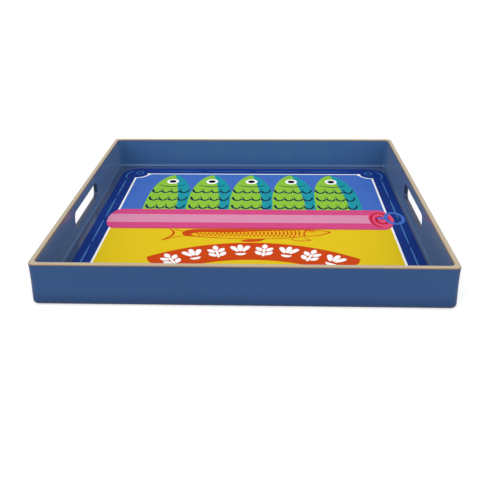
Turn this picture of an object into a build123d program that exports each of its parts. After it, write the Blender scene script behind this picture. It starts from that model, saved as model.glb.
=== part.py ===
from build123d import *
import os

# A square serving tray: a one-piece moulded plastic shell with a hand slot in two facing
# walls, a gilded rim, a picture laminated to its floor, and four stick-on rubber feet.
# The origin is the middle of the footprint, on the surface that the feet stand on. +Y runs
# to the back wall, and the hand slots are in the -X and +X walls.

# Overall sizes, in millimetres
tray_side = 381.0           # outside, across the rim, both ways
tray_height = 42.0          # from the surface to the top of the rim

# Shell
foot_height = 0.8           # clear height under the base
floor_thickness = 2.4
rim_width = 5.1
rim_rounding = 1.0          # both edges of the rim's top
outer_corner_radius = 5.5   # upright corner outside, seen from above
inner_corner_radius = 4.8   # upright corner inside
base_rounding = 4.0         # outside, where the wall turns under
cove_radius = 4.2           # inside, where the wall meets the floor
wall_flare = 0.7            # how far the outside leans out at the rim
flare_height = 24.0         # how far down from the rim the lean starts
flare_sections = 5
inner_draft = 0.5           # how much narrower the well is at its floor, each side

# Hand slots
slot_length = 100.0
slot_height = 18.0
slot_corner_radius = 6.0
slot_below_rim = 11.7       # from the rim's top to the slot's top edge
slot_lip_rounding = 0.7

# Gilding on the rim
gilt_thickness = 0.25
gilt_reach = 1.3            # how far it comes down both faces of the rim

# Picture laminate on the floor
picture_width = 355.0
picture_depth = 348.0
picture_corner_radius = 23.0
picture_shift = 2.5         # how far it is laid to the right of the middle
adhesive_thickness = 0.10
film_thickness = 0.25
overlay_thickness = 0.60
overlay_edge_rounding = 0.3

# Feet, in round seats under the base
foot_diameter = 14.0
foot_edge_rounding = 0.3
foot_centre = 150.0         # from the tray's middle, both ways
foot_adhesive_thickness = 0.15
seat_diameter = 15.0
seat_depth = 0.5

# Gate mark that moulding leaves in the middle of the underside
gate_dish_diameter = 12.0
gate_dish_depth = 0.4
gate_stub_diameter = 2.6
gate_stub_height = 0.25

base_z = foot_height
floor_z = base_z + floor_thickness
flare_z = tray_height - flare_height
well_side = tray_side - 2 * rim_width
slot_centre_z = tray_height - slot_below_rim - slot_height / 2
seat_top_z = base_z + seat_depth
slack = 1.0                 # how far a cutting solid runs past what it cuts


def rounded_slab(width, depth, radius, low_z, high_z):
    """A flat slab with rounded upright corners."""
    outline = RectangleRounded(width, depth, radius)
    return Pos(0, 0, low_z) * extrude(outline, amount=high_z - low_z)


def square_slab(side, radius, low_z, high_z):
    """A rounded slab that is as deep as it is wide."""
    return rounded_slab(side, side, radius, low_z, high_z)


def disc(diameter, low_z, high_z):
    """A round slab on the Z axis."""
    return Pos(0, 0, low_z) * extrude(Circle(diameter / 2), amount=high_z - low_z)


def outside_side(z):
    """Width of the outside at height z: upright at first, then leaning out along a parabola."""
    rise = max(0.0, z - flare_z) / flare_height
    return tray_side - 2 * wall_flare * (1 - rise**2)


def edges_at(solid, z):
    """The edges that lie in the level plane at height z."""
    return solid.edges().filter_by_position(Axis.Z, z - 0.01, z + 0.01)


def outer_block():
    """The tray's outside as a solid block: an upright base, and a leaning part lofted on it."""
    base = square_slab(outside_side(base_z), outer_corner_radius, base_z, flare_z)
    levels = [flare_z + flare_height * i / (flare_sections - 1) for i in range(flare_sections)]
    sections = [
        Pos(0, 0, z) * RectangleRounded(outside_side(z), outside_side(z), outer_corner_radius)
        for z in levels
    ]
    return base + loft(sections)


def well():
    """The space inside the walls, a little narrower at the floor so that the mould draws."""
    floor_side = well_side - 2 * inner_draft
    bottom = Pos(0, 0, floor_z) * RectangleRounded(floor_side, floor_side, inner_corner_radius)
    top = Pos(0, 0, tray_height) * RectangleRounded(well_side, well_side, inner_corner_radius)
    return loft([bottom, top], ruled=True)


def slot_bar():
    """A bar through both side walls, with the hand slot's section."""
    section = Plane.YZ * RectangleRounded(slot_length, slot_height, slot_corner_radius)
    bar = extrude(section, amount=tray_side / 2 + slack, both=True)
    return Pos(0, 0, slot_centre_z) * bar


def is_slot_lip(edge):
    """Whether an edge runs round the mouth of a hand slot."""
    middle = edge.center()
    in_wall = abs(middle.X) > well_side / 2 - slack
    in_length = abs(middle.Y) < slot_length / 2 + slack
    in_height = abs(middle.Z - slot_centre_z) < slot_height / 2 + slack
    box = edge.bounding_box()
    across_wall = box.size.X > rim_width / 2
    return in_wall and in_length and in_height and not across_wall


def foot_places():
    """Name and middle of each foot."""
    for depth_name, y in (("front", -foot_centre), ("back", foot_centre)):
        for side_name, x in (("left", -foot_centre), ("right", foot_centre)):
            yield f"{depth_name}_{side_name}", Pos(x, y, 0)


def whole_moulding():
    """The shell before the gilding's depth is taken off it."""
    shell = outer_block() - well()
    shell = fillet(edges_at(shell, floor_z), cove_radius)
    shell = fillet(edges_at(shell, base_z), base_rounding)
    shell = fillet(edges_at(shell, tray_height), rim_rounding)
    shell -= slot_bar()
    shell = fillet(shell.edges().filter_by(is_slot_lip), slot_lip_rounding)
    for _, place in foot_places():
        shell -= place * disc(seat_diameter, base_z - slack, seat_top_z)
    shell -= disc(gate_dish_diameter, base_z - slack, base_z + gate_dish_depth)
    stub_low_z = base_z + gate_dish_depth - gate_stub_height
    shell += disc(gate_stub_diameter, stub_low_z, base_z + gate_dish_depth)
    return shell


def gilt_rim(moulding):
    """The gilding: a thin cap over the rim that wraps both of its edges."""
    band_low_z = tray_height - gilt_reach
    band = square_slab(tray_side + slack, outer_corner_radius, band_low_z, tray_height + slack)
    core_outer = square_slab(
        tray_side - 2 * gilt_thickness,
        outer_corner_radius - gilt_thickness,
        band_low_z - slack,
        tray_height - gilt_thickness,
    )
    core_inner = square_slab(
        well_side + 2 * gilt_thickness,
        inner_corner_radius + gilt_thickness,
        band_low_z - 2 * slack,
        tray_height + slack,
    )
    core = core_outer - core_inner
    core = fillet(edges_at(core, tray_height - gilt_thickness), rim_rounding - gilt_thickness)
    return (moulding & band) - core


def laminate(low_z, thickness):
    """One layer of the picture laminate."""
    high_z = low_z + thickness
    layer = rounded_slab(picture_width, picture_depth, picture_corner_radius, low_z, high_z)
    return Pos(picture_shift, 0, 0) * layer


def overlay(low_z):
    """The clear top layer of the laminate, with its upper edge eased."""
    sheet = laminate(low_z, overlay_thickness)
    return fillet(edges_at(sheet, low_z + overlay_thickness), overlay_edge_rounding)


def foot():
    """A rubber foot, with its lower edge eased."""
    pad = disc(foot_diameter, 0, seat_top_z - foot_adhesive_thickness)
    return fillet(edges_at(pad, 0), foot_edge_rounding)


def foot_adhesive():
    """The adhesive disc between a foot and its seat."""
    return disc(foot_diameter, seat_top_z - foot_adhesive_thickness, seat_top_z)


def all_parts():
    """Each node's name with its solid."""
    moulding = whole_moulding()
    gilding = gilt_rim(moulding)
    film_z = floor_z + adhesive_thickness
    overlay_z = film_z + film_thickness
    parts = {
        "tray_shell": moulding - gilding,
        "gilt_rim": gilding,
        "picture_adhesive": laminate(floor_z, adhesive_thickness),
        "picture_film": laminate(film_z, film_thickness),
        "clear_overlay": overlay(overlay_z),
    }
    for name, place in foot_places():
        parts[f"foot_{name}"] = place * foot()
        parts[f"foot_adhesive_{name}"] = place * foot_adhesive()
    return parts


os.makedirs("parts", exist_ok=True)
for node, solid in all_parts().items():
    export_step(solid, f"parts/{node}.step")
    print(node, round(solid.volume), "mm3")
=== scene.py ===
from math import asin, cos, degrees, hypot, pi, radians, sin

import bpy
from mathutils import Matrix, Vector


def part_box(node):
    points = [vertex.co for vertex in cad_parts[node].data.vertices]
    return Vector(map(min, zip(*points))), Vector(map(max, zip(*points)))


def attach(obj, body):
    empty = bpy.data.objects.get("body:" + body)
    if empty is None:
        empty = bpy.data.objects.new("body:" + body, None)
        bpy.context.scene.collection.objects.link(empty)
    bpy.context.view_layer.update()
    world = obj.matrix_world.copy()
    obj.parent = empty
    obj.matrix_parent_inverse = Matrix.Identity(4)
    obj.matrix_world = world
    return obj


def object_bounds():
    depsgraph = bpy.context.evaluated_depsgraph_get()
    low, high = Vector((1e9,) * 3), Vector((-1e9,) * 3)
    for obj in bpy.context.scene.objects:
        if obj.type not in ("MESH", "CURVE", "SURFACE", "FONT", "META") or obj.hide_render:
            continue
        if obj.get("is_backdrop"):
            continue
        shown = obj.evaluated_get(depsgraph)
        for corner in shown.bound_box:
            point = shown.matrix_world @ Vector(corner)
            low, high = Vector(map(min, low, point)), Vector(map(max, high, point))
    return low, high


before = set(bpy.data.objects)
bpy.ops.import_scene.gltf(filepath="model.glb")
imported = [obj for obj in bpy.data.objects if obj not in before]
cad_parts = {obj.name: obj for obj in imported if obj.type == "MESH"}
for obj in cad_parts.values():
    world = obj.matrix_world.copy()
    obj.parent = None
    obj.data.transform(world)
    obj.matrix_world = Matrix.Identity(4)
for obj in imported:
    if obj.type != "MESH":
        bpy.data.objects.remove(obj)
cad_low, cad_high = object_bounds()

# ------------------------------------------------------------------ Shell
# The shell is one moulding in hard plastic, with the walls, the floor and both hand slots
# in it. It is coated all over in glossy blue lacquer, which shows faint wiping marks.


class Wire:
    """An output in a material. Sums and comparisons are written as Python expressions."""

    def __init__(self, tree, socket=None):
        self.tree = tree
        self.socket = socket

    def node(self, kind, settings=None, inputs=None, output=0):
        """Adds a node, makes its settings, fills its inputs, and gives one of its outputs."""
        made = self.tree.nodes.new(kind)
        for setting, value in (settings or {}).items():
            setattr(made, setting, value)
        for name, value in (inputs or {}).items():
            if isinstance(value, Wire):
                self.tree.links.new(value.socket, made.inputs[name])
            else:
                made.inputs[name].default_value = value
        return Wire(self.tree, made.outputs[output] if made.outputs else None)

    def combine(self, operation, first, second):
        """A Math node on two values."""
        return self.node("ShaderNodeMath", {"operation": operation}, {0: first, 1: second})

    def __add__(self, other):
        return self.combine("ADD", self, other)

    def __radd__(self, other):
        return self.combine("ADD", other, self)

    def __mul__(self, other):
        return self.combine("MULTIPLY", self, other)

    def __rmul__(self, other):
        return self.combine("MULTIPLY", other, self)

    def __lt__(self, other):
        return self.combine("LESS_THAN", self, other)

    def __gt__(self, other):
        return self.combine("GREATER_THAN", self, other)

    def __abs__(self):
        return self.node("ShaderNodeMath", {"operation": "ABSOLUTE"}, {0: self})


def start_material(name):
    """A new material with nothing in it yet, and a wire to add its nodes with."""
    material = bpy.data.materials.new(name)
    material.use_nodes = True
    material.node_tree.nodes.clear()
    return material, Wire(material.node_tree)


def paint(red, green, blue):
    """A colour mixed on the usual 0 to 255 scale, as the light that it gives back."""
    levels = [value / 255 for value in (red, green, blue)]
    return [v / 12.92 if v <= 0.04045 else ((v + 0.055) / 1.055) ** 2.4 for v in levels] + [1]


def axis_of(wire, source, axis):
    """The X, Y or Z of a point's place, for Object, or of the way its face looks, for Normal."""
    vector = wire.node("ShaderNodeTexCoord", output=source)
    return wire.node("ShaderNodeSeparateXYZ", None, {0: vector}, axis)


def cloud(wire, size, detail=2.0, stretch=(1, 1, 1)):
    """Soft patches about this big, in metres, from 0 to 1. Stretch under 1 draws them out."""
    place = wire.node("ShaderNodeTexCoord", output="Object")
    place = wire.node("ShaderNodeMapping", None, {"Vector": place, "Scale": stretch})
    return wire.node("ShaderNodeTexNoise", None, {"Vector": place, "Scale": 1 / size, "Detail": detail})


def keep_between(wire, low, high):
    """The wire's values from low to high, spread over 0 to 1."""
    return wire.node("ShaderNodeMapRange", None, {"Value": wire, "From Min": low, "From Max": high})


def tint(mask, first, second):
    """The first colour where the mask is 0, and the second where it is 1."""
    return mask.node("ShaderNodeMix", {"data_type": "RGBA"}, {0: mask, 6: first, 7: second}, 2)


def bumps(height, depth):
    """Normals for a surface whose height runs from 0 to this depth, in metres."""
    return height.node("ShaderNodeBump", None, {"Height": height, "Strength": 1, "Distance": depth})


def surface(wire, inputs):
    """Ends a material in one shader."""
    shader = wire.node("ShaderNodeBsdfPrincipled", None, inputs)
    wire.node("ShaderNodeOutputMaterial", None, {"Surface": shader})


def dress(node, material):
    """Gives a CAD node this material all over."""
    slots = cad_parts[node].data.materials
    slots.clear()
    slots.append(material)


shell_lacquer, wire = start_material("shell_lacquer")
pooling = cloud(wire, 0.09, 3)
wiping = cloud(wire, 0.03, 3, stretch=(0.25, 1, 1))
out_x = abs(axis_of(wire, "Object", "X"))
out_y = abs(axis_of(wire, "Object", "Y"))
height = axis_of(wire, "Object", "Z")
sideways = abs(axis_of(wire, "Normal", "X"))

# Painted shade: the blue is painted darker towards the foot of the walls, and full from 15 mm up.

painted_shade_deepest, painted_shade_ends = 0.001, 0.015
blue = tint(pooling, paint(34, 75, 126), paint(38, 81, 134))
blue = tint(0.9 * keep_between(height, painted_shade_deepest, painted_shade_ends), paint(20, 54, 100), blue)

# Painted light: the walls of the well are painted a lighter blue, for the light and grazing sheen on them.
# They are the faces above the well's floor that lie further in than the outer part of the wall.

outer_part = 0.0040
well_floor = 0.0040
furthest_out = wire.combine("MAXIMUM", out_x, out_y)
well_walls_painted_light = (furthest_out < cad_high.x - outer_part) * (height > well_floor)
blue = tint(0.6 * well_walls_painted_light, blue, paint(64, 106, 156))

# The edges of the hand slots are painted dark, as the shade inside the slots. They are the faces round a
# slot, in the thickness of the wall, that don't look to the side.

slot_wall = 0.0075
slot_half_length = 0.0505
slot_low, slot_high = 0.011, 0.031
to_the_side = 0.8
slot_painted_shade = (out_x > cad_high.x - slot_wall) * (out_y < slot_half_length)
slot_painted_shade = slot_painted_shade * (height > slot_low) * (height < slot_high) * (sideways < to_the_side)
blue = tint(slot_painted_shade, blue, paint(14, 36, 72))
surface(wire, {
    "Base Color": blue,
    "Roughness": 0.1 + 0.1 * wiping,
    "Specular IOR Level": 0.3,
    "Coat Weight": 0.35,
    "Coat Roughness": 0.55,
    "Sheen Weight": 0.12,
    "Sheen Roughness": 0.5,
    "Normal": bumps(cloud(wire, 0.006, 1), 0.000005),
})
dress("tray_shell", shell_lacquer)

# ------------------------------------------------------------------ Gilt rim
# The rim is coated in pale gold lacquer, along the top and just over both edges, which are painted browner
# as shade where they turn down. The coat has thin and thick places, and where it is thinnest it stops
# short.

rim_gilding, wire = start_material("rim_gilding")
loading = cloud(wire, 0.03, 4)
brushing = cloud(wire, 0.0012, 3)
gold_drop = 0.0011          # how far the gold reaches down from the top, in metres
gold_wander = 0.0006        # how much further it reaches where the coat is thickest
nearly_flat = 0.85          # where the brown of the edges begins to turn to gold
upward = axis_of(wire, "Normal", "Z")
height = axis_of(wire, "Object", "Z")
# Painted shade: faces that turn away from straight up are painted browner, and the flat top pale gold.
painted_top_light = keep_between(upward + 0.2 * loading, nearly_flat, 1)
gold = tint(painted_top_light, paint(150, 120, 84), paint(206, 190, 164))
blue_below = height + gold_wander * loading < cad_high.z - gold_drop
surface(wire, {
    "Base Color": tint(blue_below, gold, paint(46, 82, 126)),
    "Metallic": 0.3,
    "Roughness": 0.36 + 0.16 * brushing,
    "Normal": bumps(brushing, 0.00002),
})
dress("gilt_rim", rim_gilding)

# ------------------------------------------------------------------ Feet
# Four black rubber pads are stuck into round seats under the base, each on a disc of
# double-sided tape. They keep the lacquer off the table.

foot_rubber, wire = start_material("foot_rubber")
chalking = cloud(wire, 0.004, 4)
surface(wire, {
    "Base Color": tint(chalking, paint(24, 24, 26), paint(48, 48, 50)),
    "Roughness": 0.6 + 0.25 * chalking,
    "Specular IOR Level": 0.35,
    "Normal": bumps(cloud(wire, 0.0006, 2), 0.00003),
})

foot_tape, wire = start_material("foot_tape")
fibres = cloud(wire, 0.0008, 3, stretch=(1, 0.3, 1))
surface(wire, {
    "Base Color": tint(fibres, paint(196, 190, 172), paint(226, 222, 208)),
    "Roughness": 0.5 + 0.2 * fibres,
})

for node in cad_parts:
    if node.startswith("foot_adhesive"):
        dress(node, foot_tape)
    elif node.startswith("foot_"):
        dress(node, foot_rubber)

# ------------------------------------------------------------------ Print
# The picture is printed in flat inks on a film with round corners, which is glued into the
# well. Each ink is a thin layer of its own. Layers are numbered up from the film, and places
# in them are in millimetres from the film's middle.

mm = 0.001
ink_thickness = 0.045
film_low, film_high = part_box("picture_film")
film_middle = (film_low + film_high) / 2
film_half_width = (film_high.x - film_low.x) / 2 / mm
film_half_depth = (film_high.y - film_low.y) / 2 / mm
film_corner_radius = 23


def mix_ink(name, colour, mottling=0.08):
    """An ink: almost even, with the faint mottling of a printed area."""
    material, wire = start_material(name)
    mottle = cloud(wire, 0.0016, 3)
    drying = cloud(wire, 0.02, 2)
    fading = 0.15 * mottling
    pale = [level + (1 - level) * fading for level in colour[:3]] + [1]
    deep = [level * (1 - mottling) for level in colour[:3]] + [1]
    surface(wire, {
        "Base Color": tint(0.5 * mottle + 0.5 * drying, deep, pale),
        "Roughness": 0.42 + 0.16 * mottle,
        "Specular IOR Level": 0.0,
        "Normal": bumps(mottle, 0.000003),
    })
    return material


def arc(centre, radii, start, end, steps=24):
    """Points along an ellipse from one angle to another, in degrees."""
    turns = [radians(start + (end - start) * i / steps) for i in range(steps + 1)]
    return [(centre[0] + radii[0] * cos(a), centre[1] + radii[1] * sin(a)) for a in turns]


def oval(centre, radii):
    """A whole ellipse."""
    return arc(centre, radii, 0, 360, 48)[:-1]


def straight(start, end, steps=12):
    """Points along a straight line."""
    return [tuple(a + (b - a) * i / steps for a, b in zip(start, end)) for i in range(steps + 1)]


def flowing(points, steps=6):
    """A smooth line through a few points. It runs at each one as the points beside it do."""
    line = []
    last = len(points) - 1
    for i in range(last):
        near = [points[min(max(k, 0), last)] for k in range(i - 1, i + 3)]
        for step in range(steps):
            t = step / steps
            weights = (-t + 2 * t**2 - t**3, 2 - 5 * t**2 + 3 * t**3, t + 4 * t**2 - 3 * t**3, t**3 - t**2)
            line.append(tuple(sum(w * p[axis] for w, p in zip(weights, near)) / 2 for axis in (0, 1)))
    return line + [points[-1]]


def stroke(line, width, tip=1.0, heavy=1.0):
    """The outline of a pen stroke along a line. Its ends are tip times as wide as its middle.

    The widest place is in the middle, nearer the start with heavy under 1, and nearer the end
    with heavy over 1.
    """
    fullness = 0.7
    left, right = [], []
    for i, (x, y) in enumerate(line):
        before = line[max(i - 1, 0)]
        after = line[min(i + 1, len(line) - 1)]
        along = (after[0] - before[0], after[1] - before[1])
        swell = tip + (1 - tip) * max(sin(pi * (i / (len(line) - 1)) ** heavy), 0) ** fullness
        reach = width / 2 * swell / hypot(*along)
        left.append((x - along[1] * reach, y + along[0] * reach))
        right.append((x + along[1] * reach, y - along[0] * reach))
    return left + right[::-1]


def moved(outline, x, y, turn=0.0):
    """An outline turned about the origin, in degrees, and then moved."""
    cosine, sine = cos(radians(turn)), sin(radians(turn))
    return [(x + px * cosine - py * sine, y + px * sine + py * cosine) for px, py in outline]


def print_ink(name, outlines, layer, ink):
    """Prints one ink on its layer: the closed outlines, filled as one thin solid."""
    flat = bpy.data.curves.new(name, "CURVE")
    flat.dimensions = "2D"
    flat.fill_mode = "BOTH"
    flat.extrude = ink_thickness / 2
    for outline in outlines:
        spline = flat.splines.new("POLY")
        spline.points.add(len(outline) - 1)
        for point, (x, y) in zip(spline.points, outline):
            point.co = (x, y, 0, 1)
        spline.use_cyclic_u = True
    piece = bpy.data.objects.new(name, flat)
    bpy.context.collection.objects.link(piece)
    bpy.ops.object.select_all(action="DESELECT")
    piece.select_set(True)
    bpy.context.view_layer.objects.active = piece
    bpy.ops.object.convert(target="MESH")
    piece.location = (film_middle.x, film_middle.y, film_high.z + (layer - 0.5) * ink_thickness * mm)
    piece.scale = (mm, mm, mm)
    bpy.ops.object.transform_apply(location=True, rotation=True, scale=True)
    bpy.ops.object.mode_set(mode="EDIT")
    bpy.ops.mesh.select_all(action="SELECT")
    bpy.ops.mesh.remove_doubles(threshold=0.002 * mm)
    bpy.ops.mesh.normals_make_consistent(inside=False)
    bpy.ops.object.mode_set(mode="OBJECT")
    piece.data.materials.clear()
    piece.data.materials.append(ink)
    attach(piece, "root")


film_base, wire = start_material("film_base")
surface(wire, {
    "Base Color": tint(cloud(wire, 0.005), paint(18, 46, 112), paint(24, 54, 126)),
    "Roughness": 0.35 + 0.1 * cloud(wire, 0.002),
})
dress("picture_film", film_base)

dried_adhesive, wire = start_material("dried_adhesive")
surface(wire, {
    "Base Color": tint(cloud(wire, 0.003, 3), paint(200, 202, 196), paint(226, 228, 222)),
    "Roughness": 0.3 + 0.2 * cloud(wire, 0.002),
})
dress("picture_adhesive", dried_adhesive)

# Navy covers almost the whole film and shows as the border.

navy_ground = mix_ink("navy_ground", paint(18, 52, 132))
bare_edge = 0.05
corner_x = film_half_width - bare_edge - film_corner_radius
corner_y = film_half_depth - bare_edge - film_corner_radius
ground = []
for number, (side_x, side_y) in enumerate(((1, 1), (-1, 1), (-1, -1), (1, -1))):
    centre = (side_x * corner_x, side_y * corner_y)
    ground += arc(centre, (film_corner_radius, film_corner_radius), 90 * number, 90 * number + 90, 16)
print_ink("print_navy_ground", [ground], layer=1, ink=navy_ground)

# ------------------------------------------------------------------ Frame and fields
# A white line frames the picture, with a round bite out of each corner and a dot where the
# bite meets the long line. Inside it the print is blue behind the roll and yellow before it.

frame_half_width = 157.2
frame_half_depth = 151.8
frame_line = 2.3
bite_radius = 15.5
field_gap = 0.2
dot_radii = (2.5, 3.6)
dot_inset = (0.4, 1.6)      # from the end of the bite, and from the line
beyond = 200                # further out than any of the print, where nothing is cut off


def bitten_frame(grow, low, high):
    """The frame's outline, this much larger all round, cut off in front of low and behind high."""
    radius = bite_radius - grow
    across, along = frame_half_width + grow, frame_half_depth + grow
    lean = degrees(asin(grow / radius))
    outline = []
    for side_x, side_y in ((1, 1), (-1, 1), (-1, -1), (1, -1)):
        if low < side_y * frame_half_depth < high:
            bite = arc((0, 0), (radius, radius), 180 - lean, 270 + lean, 16)
            bite = [(frame_half_width + x, frame_half_depth + y) for x, y in bite]
            bite = [(side_x * x, side_y * y) for x, y in bite]
            outline += bite if side_x * side_y < 0 else bite[::-1]
        else:
            outline.append((side_x * across, min(max(side_y * along, low), high)))
    return outline


field_blue = mix_ink("field_blue", paint(66, 110, 196))
field_yellow = mix_ink("field_yellow", paint(229, 198, 24))
line_white = mix_ink("line_white", paint(252, 252, 253), 0.02)
print_ink("print_blue_field", [bitten_frame(0, 0, beyond)], layer=2, ink=field_blue)
print_ink("print_yellow_field", [bitten_frame(0, -beyond, -field_gap)], layer=2, ink=field_yellow)
frame_edges = [bitten_frame(side * frame_line / 2, -beyond, beyond) for side in (1, -1)]
print_ink("print_frame_line", frame_edges, layer=3, ink=line_white)

frame_dots = []
for side_x in (-1, 1):
    for side_y in (-1, 1):
        dot_x = side_x * (frame_half_width - bite_radius - dot_inset[0])
        dot_y = side_y * (frame_half_depth - dot_inset[1])
        frame_dots.append(oval((dot_x, dot_y), dot_radii))
print_ink("print_frame_dots", frame_dots, layer=4, ink=line_white)

# ------------------------------------------------------------------ Border strokes
# A broken light-blue line runs along the middle of the border, with a hook round each corner
# and a small ring inside it.

border_blue = mix_ink("border_blue", paint(70, 122, 180))
border_x = 168.5
border_y = 162.8
side_stroke = 1.8
back_stroke = 1.3           # along the back and the front, where the line is finer
border_tip = 0.5
border_run = 128            # how far the line reaches to each side of the middle
border_strokes = 4
border_gap = 8
stroke_length = (2 * border_run + border_gap) / border_strokes - border_gap
border = []
for number in range(border_strokes):
    low = -border_run + number * (stroke_length + border_gap)
    high = low + stroke_length
    for side in (-1, 1):
        upright = straight((side * border_x, low), (side * border_x, high))
        crossways = straight((low, side * border_y), (high, side * border_y))
        border.append(stroke(upright, side_stroke, border_tip))
        border.append(stroke(crossways, back_stroke, border_tip))

hook = flowing([(164.0, 163.5), (169.0, 157.0), (171.2, 148.0), (170.4, 139.0), (166.8, 133.0)])
ring_place = (154.7, 156.5)
ring_outer, ring_inner = (5.2, 6.4), (3.8, 4.8)
for side_x in (-1, 1):
    for side_y in (-1, 1):
        border.append(stroke([(side_x * x, side_y * y) for x, y in hook], side_stroke, border_tip))
        ring_centre = (side_x * ring_place[0], side_y * ring_place[1])
        border += [oval(ring_centre, ring_outer), oval(ring_centre, ring_inner)]
print_ink("print_border_strokes", border, layer=2, ink=border_blue)

# ------------------------------------------------------------------ Row of fish
# Five fish stand side by side behind the roll. Each is a pointed arch in two inks, with an
# eye, a gill line and three rows of scales drawn over it.

fish_green = mix_ink("fish_green", paint(140, 197, 60))
fish_teal = mix_ink("fish_teal", paint(25, 150, 165))
pen_navy = mix_ink("pen_navy", paint(8, 34, 72))
pupil_black = mix_ink("pupil_black", paint(16, 14, 14))

fish_count = 5
fish_pitch = 51.7
fish_middle = -1.0
fish_base = 24.0
fish_tip = 147.0
green_reach = 25.4          # from the middle to the left edge
teal_reach = 29.3           # from the middle to the right edge
seam_reach = 14.4           # from the middle to where the two inks meet, at the base
seam_power = 1.8
side_steps = 20
ink_overlap = 2


def arch_side(reach, shoulder, power):
    """One side of a pointed arch, from the tip down to its base, to the right.

    It leans in above the shoulder. A higher power makes the point sharper.
    """
    fullness = 2.35
    side = []
    for step in range(side_steps + 1):
        rise = sin(pi / 2 * (1 - step / side_steps))
        side.append((reach * (1 - rise**fullness) ** power, shoulder + (fish_tip - shoulder) * rise))
    return side + [(reach, fish_base)]


seam = []
for step in range(side_steps + 1):
    rise = 1 - step / side_steps
    seam.append((seam_reach * (1 - rise**seam_power), fish_base + (fish_tip - fish_base) * rise))
green_side = arch_side(green_reach, shoulder=55, power=0.57)
teal_side = arch_side(teal_reach, shoulder=40, power=0.7)
green_shape = seam + [(-x, y) for x, y in reversed(green_side[1:])]
teal_shape = teal_side + [(x - ink_overlap, y) for x, y in reversed(seam[1:])]

gill_line = arc((0, 122), (22, 18.4), 220, 320)
scale_rows = (93.5, 68.0, 42.5)
scales_in_row = 4
scale_middle = 0.6
scale_width = 11.5
scale_drop = 11.3
pen_shape = [stroke(gill_line, width=2.3, tip=0.3)]
for row_y in scale_rows:
    for number in range(scales_in_row):
        scale_x = scale_middle + scale_width * (number - (scales_in_row - 1) / 2)
        scallop = arc((scale_x, row_y), (scale_width / 2, scale_drop), 176, 364)
        pen_shape.append(stroke(scallop, width=3.3, tip=0.35, heavy=0.65))

eye_place = (-0.7, 122.3)
eye_radii = (7.7, 9.0)
pupil_radii = (4.6, 5.0)
teal, green, pen, eyes, pupils = [], [], [], [], []
for number in range(fish_count):
    x = fish_middle + fish_pitch * (number - (fish_count - 1) / 2)
    teal.append(moved(teal_shape, x, 0))
    green.append(moved(green_shape, x, 0))
    pen += [moved(outline, x, 0) for outline in pen_shape]
    eyes.append(moved(oval(eye_place, eye_radii), x, 0))
    pupils.append(moved(oval(eye_place, pupil_radii), x, 0))
print_ink("print_fish_teal", teal, layer=3, ink=fish_teal)
print_ink("print_fish_green", green, layer=4, ink=fish_green)
print_ink("print_fish_pen", pen, layer=5, ink=pen_navy)
print_ink("print_fish_eyes", eyes, layer=6, ink=line_white)
print_ink("print_fish_pupils", pupils, layer=7, ink=pupil_black)

# ------------------------------------------------------------------ Roll and key
# A rolled-up sheet lies across the middle of the picture: a pink roll with a light band, a
# coiled end at the right, and a round-headed key through the coil.

roll_dark = mix_ink("roll_dark", paint(214, 74, 134))
roll_light = mix_ink("roll_light", paint(220, 144, 177))
coil_pink = mix_ink("coil_pink", paint(232, 80, 124))
coil_red = mix_ink("coil_red", paint(186, 20, 56))
key_blue = mix_ink("key_blue", paint(70, 112, 202))

roll_low, roll_high = -27.2, 28.0
roll_middle = (roll_low + roll_high) / 2
roll_radius = (roll_high - roll_low) / 2
roll_left, roll_right = -152.6, 147.8
left_bulge, right_bulge = 12.2, 14.2
band_low, band_high = -10.2, 12.8
coil_centre = (148.8, 1.6)
coil_radii = (14.2, 24.6)
coil_turns = 2.05
coil_inset = 1.6
coil_steps = 96
coil_start = -100           # the angle of the coil line's outer end, in degrees
coil_shrink = 0.97          # how much of its radius the line loses on its way in

roll = arc((roll_left, roll_middle), (left_bulge, roll_radius), 90, 270)
roll += arc((roll_right, roll_middle), (right_bulge, roll_radius), -90, 90)
print_ink("print_roll", [roll], layer=5, ink=roll_dark)

band_start = 180 - degrees(asin((band_high - roll_middle) / roll_radius))
band_end = 180 - degrees(asin((band_low - roll_middle) / roll_radius))
band = arc((roll_left, roll_middle), (left_bulge, roll_radius), band_start, band_end, 10)
band += [(coil_centre[0], band_low), (coil_centre[0], band_high)]
print_ink("print_roll_light", [band], layer=6, ink=roll_light)
print_ink("print_coil", [oval(coil_centre, coil_radii)], layer=7, ink=coil_pink)

coil_line = []
for step in range(coil_steps + 1):
    share = 1 - coil_shrink * step / coil_steps
    turn = radians(coil_start - 360 * coil_turns * step / coil_steps)
    coil_line.append((
        coil_centre[0] + (coil_radii[0] - coil_inset) * share * cos(turn),
        coil_centre[1] + (coil_radii[1] - coil_inset) * share * sin(turn),
    ))
shade_y = roll_low + 0.9
shade = straight((-146, shade_y), (144, shade_y), 20)
coil_lines = [stroke(coil_line, width=3.3, tip=0.6), stroke(shade, width=1.5, tip=0.1)]
print_ink("print_coil_lines", coil_lines, layer=8, ink=coil_red)

key_centre = (164.4, 4.6)
key_outer, key_inner = (12.1, 18.2), (7.7, 12.8)
key_join = 8                # half the angle that the shaft takes out of the ring, in degrees
shaft_x = 146.4             # where the shaft ends, in a round tip
shaft_tip = 1.6
key = arc(key_centre, key_outer, 180 - key_join, key_join - 180, 48)
shaft_radius = key[0][1] - key_centre[1]
key += arc((shaft_x, key_centre[1]), (shaft_tip, shaft_radius), 270, 90, 8)
print_ink("print_key", [key, oval(key_centre, key_inner)], layer=9, ink=key_blue)

# ------------------------------------------------------------------ Long fish
# A long fish lies under the roll, with an orange back, a yellow belly drawn with dashes, a
# pointed head, a forked tail and small fins.

fish_orange = mix_ink("fish_orange", paint(206, 72, 10))
belly_yellow = mix_ink("belly_yellow", paint(230, 190, 18))


def closed(edges):
    """An outline of flowing edges, each of which starts where the last one ends."""
    outline = []
    for edge in edges:
        outline += flowing(edge)[:-1]
    return outline


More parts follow.
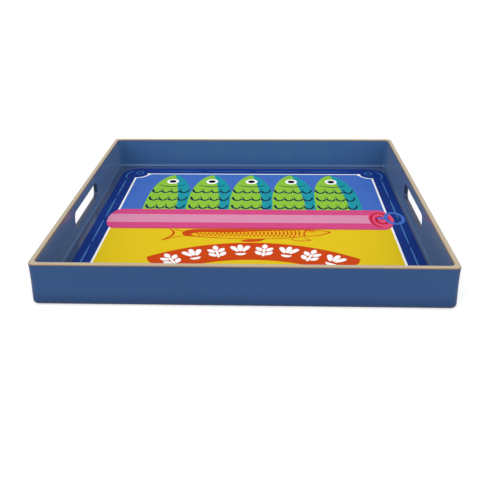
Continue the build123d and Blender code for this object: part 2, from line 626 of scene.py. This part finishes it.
body = closed((
    [(-74.2, -39.9), (-72.6, -33.8), (-64.0, -29.4), (-40.0, -27.8), (58.7, -27.6), (73.0, -27.9)],
    [(73.0, -27.9), (83.3, -30.6), (89.0, -34.8), (78.0, -42.4), (68.6, -45.2), (60.5, -45.6)],
    [(60.5, -45.6), (45.0, -50.2), (24.6, -52.5), (2.0, -53.6), (-23.4, -52.4), (-53.0, -49.4)],
    [(-53.0, -49.4), (-63.0, -47.6), (-70.3, -46.6), (-74.2, -39.9)],
))
belly = closed((
    [(-64.3, -41.5), (-53.8, -37.0), (-24.2, -36.8), (10.0, -33.4), (40.0, -31.2), (61.0, -30.0)],
    [(61.0, -30.0), (59.0, -36.0), (58.4, -41.0), (59.0, -44.6)],
    [(59.0, -44.6), (44.0, -48.8), (24.6, -51.1), (2.0, -52.2), (-23.4, -51.0), (-52.6, -47.6)],
    [(-52.6, -47.6), (-60.5, -45.4), (-64.3, -41.5)],
))
cheek = closed((
    [(62.6, -31.4), (72.0, -30.0), (82.0, -32.2), (86.0, -34.8), (77.2, -41.0), (68.4, -43.8)],
    [(68.4, -43.8), (61.6, -44.0), (60.4, -38.0), (62.6, -31.4)],
))

tail_fork = [(-89.3, -27.9), (-85.3, -33.0), (-83.2, -38.5), (-84.6, -45.5), (-89.4, -52.5), (-94.4, -57.4)]
tail_low = [(-93.2, -57.6), (-87.0, -53.4), (-79.0, -48.9), (-71.6, -46.4)]
tail_high = [(-83.0, -29.9), (-78.0, -31.9), (-73.4, -34.2)]
tail = [stroke(flowing(tail_fork), width=2.8, tip=0.25)]
tail += [stroke(flowing(edge), width=1.6, tip=0.6) for edge in (tail_low, tail_high)]
fin_line = [(45.8, -52.0), (47.4, -55.4), (57.5, -57.0), (65.8, -55.2), (62.0, -51.6), (58.4, -48.4)]
fin = stroke(flowing(fin_line), width=1.5, tip=0.7)
low_fin = flowing([(15.5, -52.9), (6.5, -54.0), (-1.4, -54.2), (-9.2, -57.4), (-1.0, -60.6), (11.6, -58.8)])
print_ink("print_long_fish", [body, fin, low_fin] + tail, layer=3, ink=fish_orange)
print_ink("print_long_fish_belly", [belly, cheek], layer=4, ink=belly_yellow)

# The belly's dashes stand in a row, and all but the last two have a scale below them.

dash_count = 27
scale_count = 25
dash_left = -57.0
dash_row = 111.5
top_left, top_rise, top_bend = -38.4, 7.6, 1.3
low_left, low_fall = -41.4, 2.4
dashes = []
for number in range(dash_count):
    share = number / (dash_count - 1)
    x = dash_left + dash_row * share
    top = top_left + top_rise * share**top_bend
    low = low_left - low_fall * share
    dash = flowing([(x - 1.1, top), (x + 0.2, (top + low) / 2), (x - 0.8, low)])
    dashes.append(stroke(dash, width=1.9, tip=0.4))
    if number < scale_count:
        scale = flowing([(x + 0.9, low + 0.3), (x + 2.9, low - 2.4), (x + 0.9, low - 4.4)])
        dashes.append(stroke(scale, width=1.5, tip=0.4))
long_eye = (68.4, -32.6)
eye_ring = [oval(long_eye, (3.4, 2.4)), oval(long_eye, (2.2, 1.4))]
print_ink("print_long_fish_dashes", dashes + eye_ring, layer=5, ink=fish_orange)

# ------------------------------------------------------------------ Banner
# An orange banner arches across the lower half, with a blunt point at each end. White sprigs
# and seashells stand along it by turns.

banner_orange = mix_ink("banner_orange", paint(206, 68, 10))
banner_centre = (4.0, -244.3)
banner_outer = 182
banner_inner = 142
banner_left, banner_right = 126.3, 53.0      # the angles where its ends are
point_radius = banner_outer - 9
point_turn = 1
ornament_radius = 164
ornament_step = 8.6
ornament_count = 8


def on_banner(radius, angle):
    """The point at this distance from the banner's centre, at an angle in degrees."""
    return arc(banner_centre, (radius, radius), angle, angle, 1)[0]


banner = arc(banner_centre, (banner_outer, banner_outer), banner_left, banner_right, 40)
banner.append(on_banner(point_radius, banner_right - point_turn))
banner += arc(banner_centre, (banner_inner, banner_inner), banner_right, banner_left, 40)
banner.append(on_banner(point_radius, banner_left + point_turn))
print_ink("print_banner", [banner], layer=3, ink=banner_orange)

# A sprig is a stem with leaves in pairs. A seashell is a fan of ribs over a small base.

leaf = arc((0, -3.6), (6.6, 6.6), 145, 35, 8) + arc((0, 3.6), (6.6, 6.6), -35, -145, 8)
leaf_lean = 52
sprig = [stroke([(0, -13), (0, -4), (0, 3)], width=2.6), moved(leaf, 0, 9, 90)]
for leaf_y in (-6.2, 2.8):
    sprig.append(moved(leaf, 5.4, leaf_y, leaf_lean))
    sprig.append(moved(leaf, -5.4, leaf_y, -leaf_lean))

rib_lean = 27
seashell = []
for rib in (-1, 0, 1):
    turn = radians(rib * rib_lean)
    line = [(reach * sin(turn), -8 + reach * cos(turn)) for reach in (6, 13, 21 - abs(rib))]
    seashell.append(stroke(flowing(line), width=5.8, tip=0.35, heavy=1.5))
seashell.append(arc((0, -6.6), (5.6, 4.8), 180, 360, 10))

ornaments = []
for number in range(ornament_count):
    lean = (ornament_count / 2 - 0.5 - number) * ornament_step
    x, y = on_banner(ornament_radius, 90 + lean)
    ornaments += [moved(outline, x, y, lean) for outline in (seashell if number % 2 else sprig)]
print_ink("print_banner_ornaments", ornaments, layer=4, ink=line_white)

# Three wavy strokes fill the yellow under the arch, each shorter than the one above it.

wave_count = 3
wave_top = -123
wave_gap = 9
wave_half_length = 60
wave_step_in = 12
wave_rise = 2.2
wave_spread = 4.5
waves = []
for row in range(wave_count):
    half = wave_half_length - wave_step_in * row
    y = wave_top - wave_gap * row
    line = straight((-half, y), (half, y), 60)
    line = [(banner_centre[0] + x, y + wave_rise * sin(x / wave_spread)) for x, y in line]
    waves.append(stroke(line, width=1.8, tip=0.3))
print_ink("print_waves", waves, layer=3, ink=banner_orange)

# ------------------------------------------------------------------ Clear overlay
# A clear glossy sheet is laminated over the print and keeps it from wear. It reflects very
# little, and a little more in faint rubbed places.

clear_overlay, wire = start_material("clear_overlay")
rubbing = cloud(wire, 0.03, 4)
through = wire.node("ShaderNodeBsdfTransparent")
gloss = wire.node("ShaderNodeBsdfAnisotropic", None, {"Roughness": 0.08 + 0.1 * rubbing})
sheet = wire.node("ShaderNodeMixShader", None, {0: 0.003 + 0.006 * rubbing, 1: through, 2: gloss})
wire.node("ShaderNodeOutputMaterial", None, {"Surface": sheet})
dress("clear_overlay", clear_overlay)

# ------------------------------------------------------------------ Stage
# A plain pale floor runs out to a white sky, and two broad lamps stand at the front left and
# the front right. Floor and sky are brighter to the camera than to the tray, so that they
# look white without washing it out.

floor_glow = 0.62
floor_paint, wire = start_material("floor_paint")
surface(wire, {
    "Base Color": tint(cloud(wire, 0.4), paint(184, 184, 184), paint(190, 190, 190)),
    "Roughness": 0.8,
    "Specular IOR Level": 0.0,
    "Emission Color": wire.node("ShaderNodeLightPath", output="Is Camera Ray"),
    "Emission Strength": floor_glow,
})
bpy.ops.object.select_all(action="DESELECT")
bpy.ops.mesh.primitive_plane_add(size=12, location=(0, 0, cad_low.z))
floor = bpy.context.object
floor.name = "floor"
floor.data.materials.append(floor_paint)
floor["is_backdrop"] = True

scene = bpy.context.scene
world = bpy.data.worlds.new("studio")
world.use_nodes = True
world.node_tree.nodes.clear()
scene.world = world
air = Wire(world.node_tree)
sky_light = 0.5
sky_seen = 1.1
strength = sky_light + (sky_seen - sky_light) * air.node("ShaderNodeLightPath", output="Is Camera Ray")
glow = air.node("ShaderNodeBackground", None, {"Color": (1, 1, 1, 1), "Strength": strength})
air.node("ShaderNodeOutputWorld", None, {"Surface": glow})

lamp_tilt = radians(50)
lamp_spread = radians(60)
for name, side, power in (("left_lamp", -45, 1.5), ("right_lamp", 45, 1.25)):
    lamp = bpy.data.lights.new(name, "SUN")
    lamp.energy = power
    lamp.angle = lamp_spread
    holder = bpy.data.objects.new(name, lamp)
    scene.collection.objects.link(holder)
    aim = Matrix.Rotation(radians(side), 3, "Z") @ Matrix.Rotation(lamp_tilt, 3, "X")
    holder.rotation_euler = aim.to_euler()

# The camera stands in front, above the rim, and looks about 19 degrees down.

camera_data = bpy.data.cameras.new("camera")
camera_data.lens = 52.29
camera_data.sensor_width = 36
camera_data.shift_y = -0.15
camera = bpy.data.objects.new("camera", camera_data)
scene.collection.objects.link(camera)
camera.location = (0.0232, -0.7346, 0.3237)
turned = Matrix.Rotation(radians(2.498), 3, "Z")
tipped = Matrix.Rotation(radians(70.674), 3, "X")
rolled = Matrix.Rotation(radians(-0.619), 3, "Z")
camera.rotation_euler = (turned @ tipped @ rolled).to_euler()
scene.camera = camera
scene.view_settings.view_transform = "Standard"

# ------------------------------------------------------------------ Sizes
# The finished model's box is measured, as the CAD model's box was at the start.

low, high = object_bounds()
